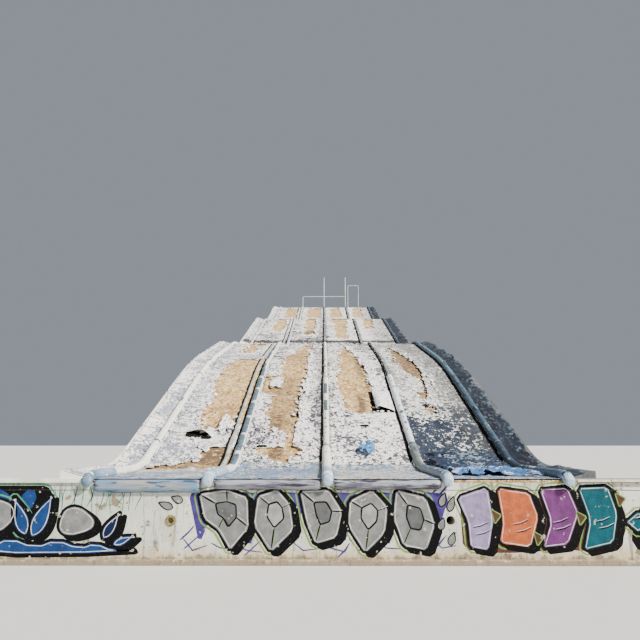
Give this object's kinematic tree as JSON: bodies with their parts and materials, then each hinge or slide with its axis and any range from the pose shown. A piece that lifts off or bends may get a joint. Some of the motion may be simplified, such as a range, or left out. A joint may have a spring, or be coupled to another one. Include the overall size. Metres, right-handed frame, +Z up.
{
  "type": "hillside multi-lane water slide",
  "caption": "Abandoned hillside water slide: wide lanes of foam mat between divider tubes drop in steps from a start platform to a pool wall.",
  "frame": {"origin": "middle of the footprint, at the level of the pool floor", "axes": "+Z up, +Y up the slide from the pool to the start platform, +X to the right as seen from the pool"},
  "size_m": [9, 36.9, 13.0703],
  "materials": {
    "painted_render": "lime-washed cement render, painted over and stained",
    "concrete": "weathered cast concrete",
    "rubble_stone": "irregular limestone rubble in recessed mortar",
    "coping": "worn smooth cast coping",
    "foam_mat": "sun-bleached foam sheet under a peeling coat",
    "liner": "peeling white and pale blue liner",
    "tube_cover": "chalky cream tube cover with worn grey-blue patches",
    "white_pipe": "white gloss paint, chipped and rusting",
    "fitting": "stained plastic"
  },
  "bodies": {
    "root": {"divider_tube_1_lower": "tube_cover", "divider_tube_1_upper": "tube_cover", "divider_tube_2_lower": "tube_cover", "divider_tube_2_upper": "tube_cover", "divider_tube_3_lower": "tube_cover", "divider_tube_3_upper": "tube_cover", "divider_tube_4_lower": "tube_cover", "divider_tube_4_upper": "tube_cover", "divider_tube_5_lower": "tube_cover", "divider_tube_5_upper": "tube_cover", "entry_frame": "white_pipe", "inlet_fitting": "fitting", "lane_1_lower_mat": "foam_mat", "lane_1_run_out_mat": "foam_mat", "lane_1_upper_mat": "foam_mat", "lane_2_lower_mat": "foam_mat", "lane_2_run_out_mat": "foam_mat", "lane_2_upper_mat": "foam_mat", "lane_3_lower_mat": "foam_mat", "lane_3_run_out_mat": "foam_mat", "lane_3_upper_mat": "foam_mat", "lane_4_lower_mat": "foam_mat", "lane_4_run_out_mat": "foam_mat", "lane_4_upper_mat": "foam_mat", "left_coping": "coping", "left_kerb": "liner", "left_side_wall_lower": "rubble_stone", "left_side_wall_middle": "rubble_stone", "left_side_wall_upper": "rubble_stone", "lip_nosing_1": "liner", "lip_nosing_2": "liner", "lip_nosing_3": "liner", "lower_cross_wall": "rubble_stone", "lower_slab": "concrete", "middle_slab": "concrete", "pool_end_wall": "painted_render", "rear_wall": "rubble_stone", "right_coping": "coping", "right_kerb": "liner", "right_side_wall_lower": "rubble_stone", "right_side_wall_middle": "rubble_stone", "right_side_wall_upper": "rubble_stone", "run_out_slab": "concrete", "start_platform": "concrete", "start_rail": "white_pipe", "tall_post_centre": "white_pipe", "tall_post_right": "white_pipe", "upper_cross_wall": "rubble_stone", "upper_slab": "concrete", "wall_plinth": "painted_render", "wall_ring_beam": "painted_render"}
  },
  "joints": []
}
